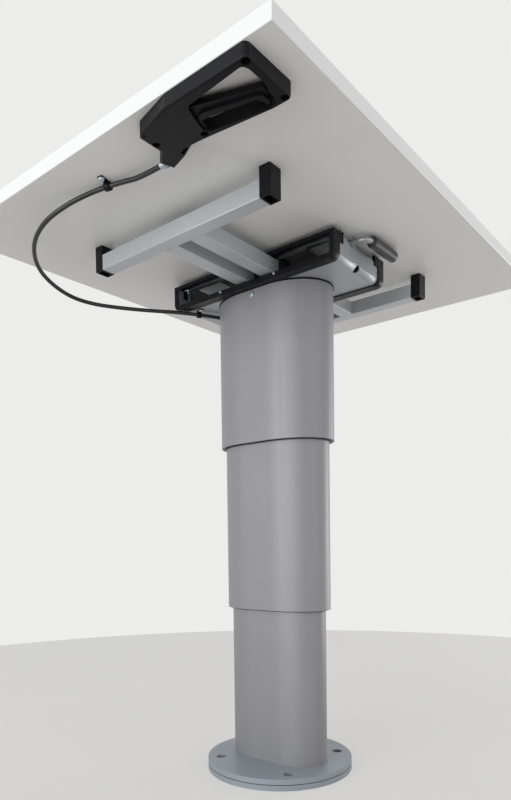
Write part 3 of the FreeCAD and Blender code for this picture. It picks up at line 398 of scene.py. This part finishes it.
def floor():
    """Round pale floor that keeps the object's shadow."""
    mesh = bpy.data.meshes.new("floor")
    made = bmesh.new()
    bmesh.ops.create_circle(made, cap_ends=True, radius=FLOOR_RADIUS, segments=FLOOR_SIDES)
    made.to_mesh(mesh)
    made.free()
    piece = shown(bpy.data.objects.new("floor", mesh))
    look = Shader("floor_pale", FLOOR_COLOUR, roughness=0.7)
    look.tint(look.noise(scale=2.0, detail=3.0), dark=0.99, light=1.01)
    look.rough(look.noise(scale=30.0, detail=3.0), swing=0.05)
    # Towards the camera the floor takes on part of the background's tone
    rays = look.node("ShaderNodeLightPath")
    share = maths(look.tree, "MULTIPLY", rays.outputs["Is Camera Ray"], FLOOR_HAZE)
    haze = look.node("ShaderNodeEmission")
    haze.inputs["Color"].default_value = BACKGROUND
    blend = look.node("ShaderNodeMixShader")
    look.link(share, blend.inputs["Fac"])
    look.link(look.shader.outputs[0], blend.inputs[1])
    look.link(haze.outputs[0], blend.inputs[2])
    look.link(blend.outputs[0], look.tree.nodes["Material Output"].inputs["Surface"])
    dress(piece, look.material)


def world():
    """Soft ambient light, and the pale background that camera, glass and gloss show."""
    made = bpy.data.worlds.new("studio")
    bpy.context.scene.world = made
    made.use_nodes = True
    tree = made.node_tree
    ambient = tree.nodes["Background"]
    ambient.inputs["Color"].default_value = AMBIENT_COLOUR
    ambient.inputs["Strength"].default_value = AMBIENT
    seen = tree.nodes.new("ShaderNodeBackground")
    seen.inputs["Color"].default_value = BACKGROUND
    rays = tree.nodes.new("ShaderNodeLightPath").outputs
    through = maths(tree, "MAXIMUM", rays["Is Camera Ray"], rays["Is Transmission Ray"])
    shows = maths(tree, "MAXIMUM", through, rays["Is Glossy Ray"])
    blend = tree.nodes.new("ShaderNodeMixShader")
    tree.links.new(shows, blend.inputs["Fac"])
    tree.links.new(ambient.outputs[0], blend.inputs[1])
    tree.links.new(seen.outputs[0], blend.inputs[2])
    tree.links.new(blend.outputs[0], tree.nodes["World Output"].inputs["Surface"])


def softbox(name, place, aim, width, height, power, colour=WHITE):
    """Rectangular lamp of a power in watts, turned to the point that it is aimed at."""
    data = bpy.data.lights.new(name, "AREA")
    data.shape = "RECTANGLE"
    data.size = width
    data.size_y = height
    data.energy = power
    data.color = colour
    lamp = bpy.data.objects.new(name, data)
    lamp.location = place
    lamp.rotation_euler = (Vector(aim) - Vector(place)).to_track_quat("-Z", "Y").to_euler()
    shown(lamp)


# A look for each of the record's material slots: name, colour, roughness and what its kind adds
looks = {
    "base_paint": powder_coat("base_blue_grey", (0.32, 0.352, 0.382), 0.42, metallic=0.15),
    "column_grey": drawn_profile("column_silver", (0.27, 0.266, 0.276), 0.47, metallic=0.2),
    "black_plastic": moulded_plastic("satin_black_plastic", (0.0055, 0.0055, 0.0068), 0.38,
                                     specular=0.17),
    "zinc": bright_metal("blue_zinc", (0.62, 0.68, 0.73), 0.3, stretch=(1.0, 1.0, 0.3)),
    "steel": bright_metal("drawn_steel", (0.5, 0.52, 0.53), 0.34, stretch=(0.04, 1.0, 1.0)),
    "spring_black": powder_coat("spring_gloss_black", (0.02, 0.02, 0.022), 0.25),
    "cast_alloy": powder_coat("cast_alloy", (0.5, 0.5, 0.51), 0.5, metallic=0.7, drift=0.08),
    "tray_steel": powder_coat("tray_blue_grey", (0.385, 0.407, 0.423), 0.4, metallic=0.25),
    "bar_silver": powder_coat("bar_silver", (0.52, 0.54, 0.56), 0.38, metallic=0.3,
                              drift=0.025),
    "board_white": laminate(),
    "grip_anthracite": moulded_plastic("grip_anthracite", (0.035, 0.034, 0.038), 0.34,
                                       specular=0.4, grain=1400.0),
    "cable_black": cable_jacket(),
}
lever_look = bright_metal("lever_grey", (0.42, 0.44, 0.44), 0.38, stretch=(1.0, 1.0, 1.0))
# Bluish zinc for the rail brackets and brake bar, partly their own dark steel and partly
# painted shade: darkened to stand in for the shadow inside the tray
bracket_shade_look = powder_coat("bracket_zinc_painted_shade", (0.085, 0.108, 0.122), 0.38, metallic=0.4)
carriage_look = powder_coat("carriage_dark_grey", (0.075, 0.073, 0.07), 0.45, metallic=0.2)

# Nodes that differ from the rest of their slot
own_looks = {
    "lock_rod": lever_look,
    # The rail brackets and brake bar take the zinc darkened with painted shade
    "rail_bracket_left": bracket_shade_look,
    "rail_bracket_right": bracket_shade_look,
    "brake_bar": bracket_shade_look,
    "carriage_base": carriage_look,
    "carriage_top": carriage_look,
}

slots = {row["node"]: row["material_slot"] for row in frame["record"]["subparts"]}
for name, piece in nodes.items():
    dress(piece, own_looks.get(name, looks[slots[name]]))

cable_half("control_cable_handle_half", HANDLE_HALF_ROUTE,
           "cable_handle_half")
cable_half("control_cable_tray_half", TRAY_HALF_ROUTE,
           "cable_tray_half")

for name in BROKEN_EDGES:
    break_edges(name, EDGE_BREAK)
for name in SMALL_BROKEN_EDGES:
    break_edges(name, SMALL_EDGE_BREAK)

camera()
floor()
world()
softbox("front_softbox", place=(-0.2, -2.4, 0.7), aim=(0, 0, 0.6), width=2.2, height=1.6,
        power=36, colour=COOL_WHITE)
softbox("rear_softbox", place=(1.0, 2.2, 0.45), aim=(0.1, 0, 0.5), width=0.8, height=1.3,
        power=17)
softbox("side_softbox", place=(2.6, -0.2, 0.8), aim=(0, 0, 0.55), width=2.0, height=1.8,
        power=8)
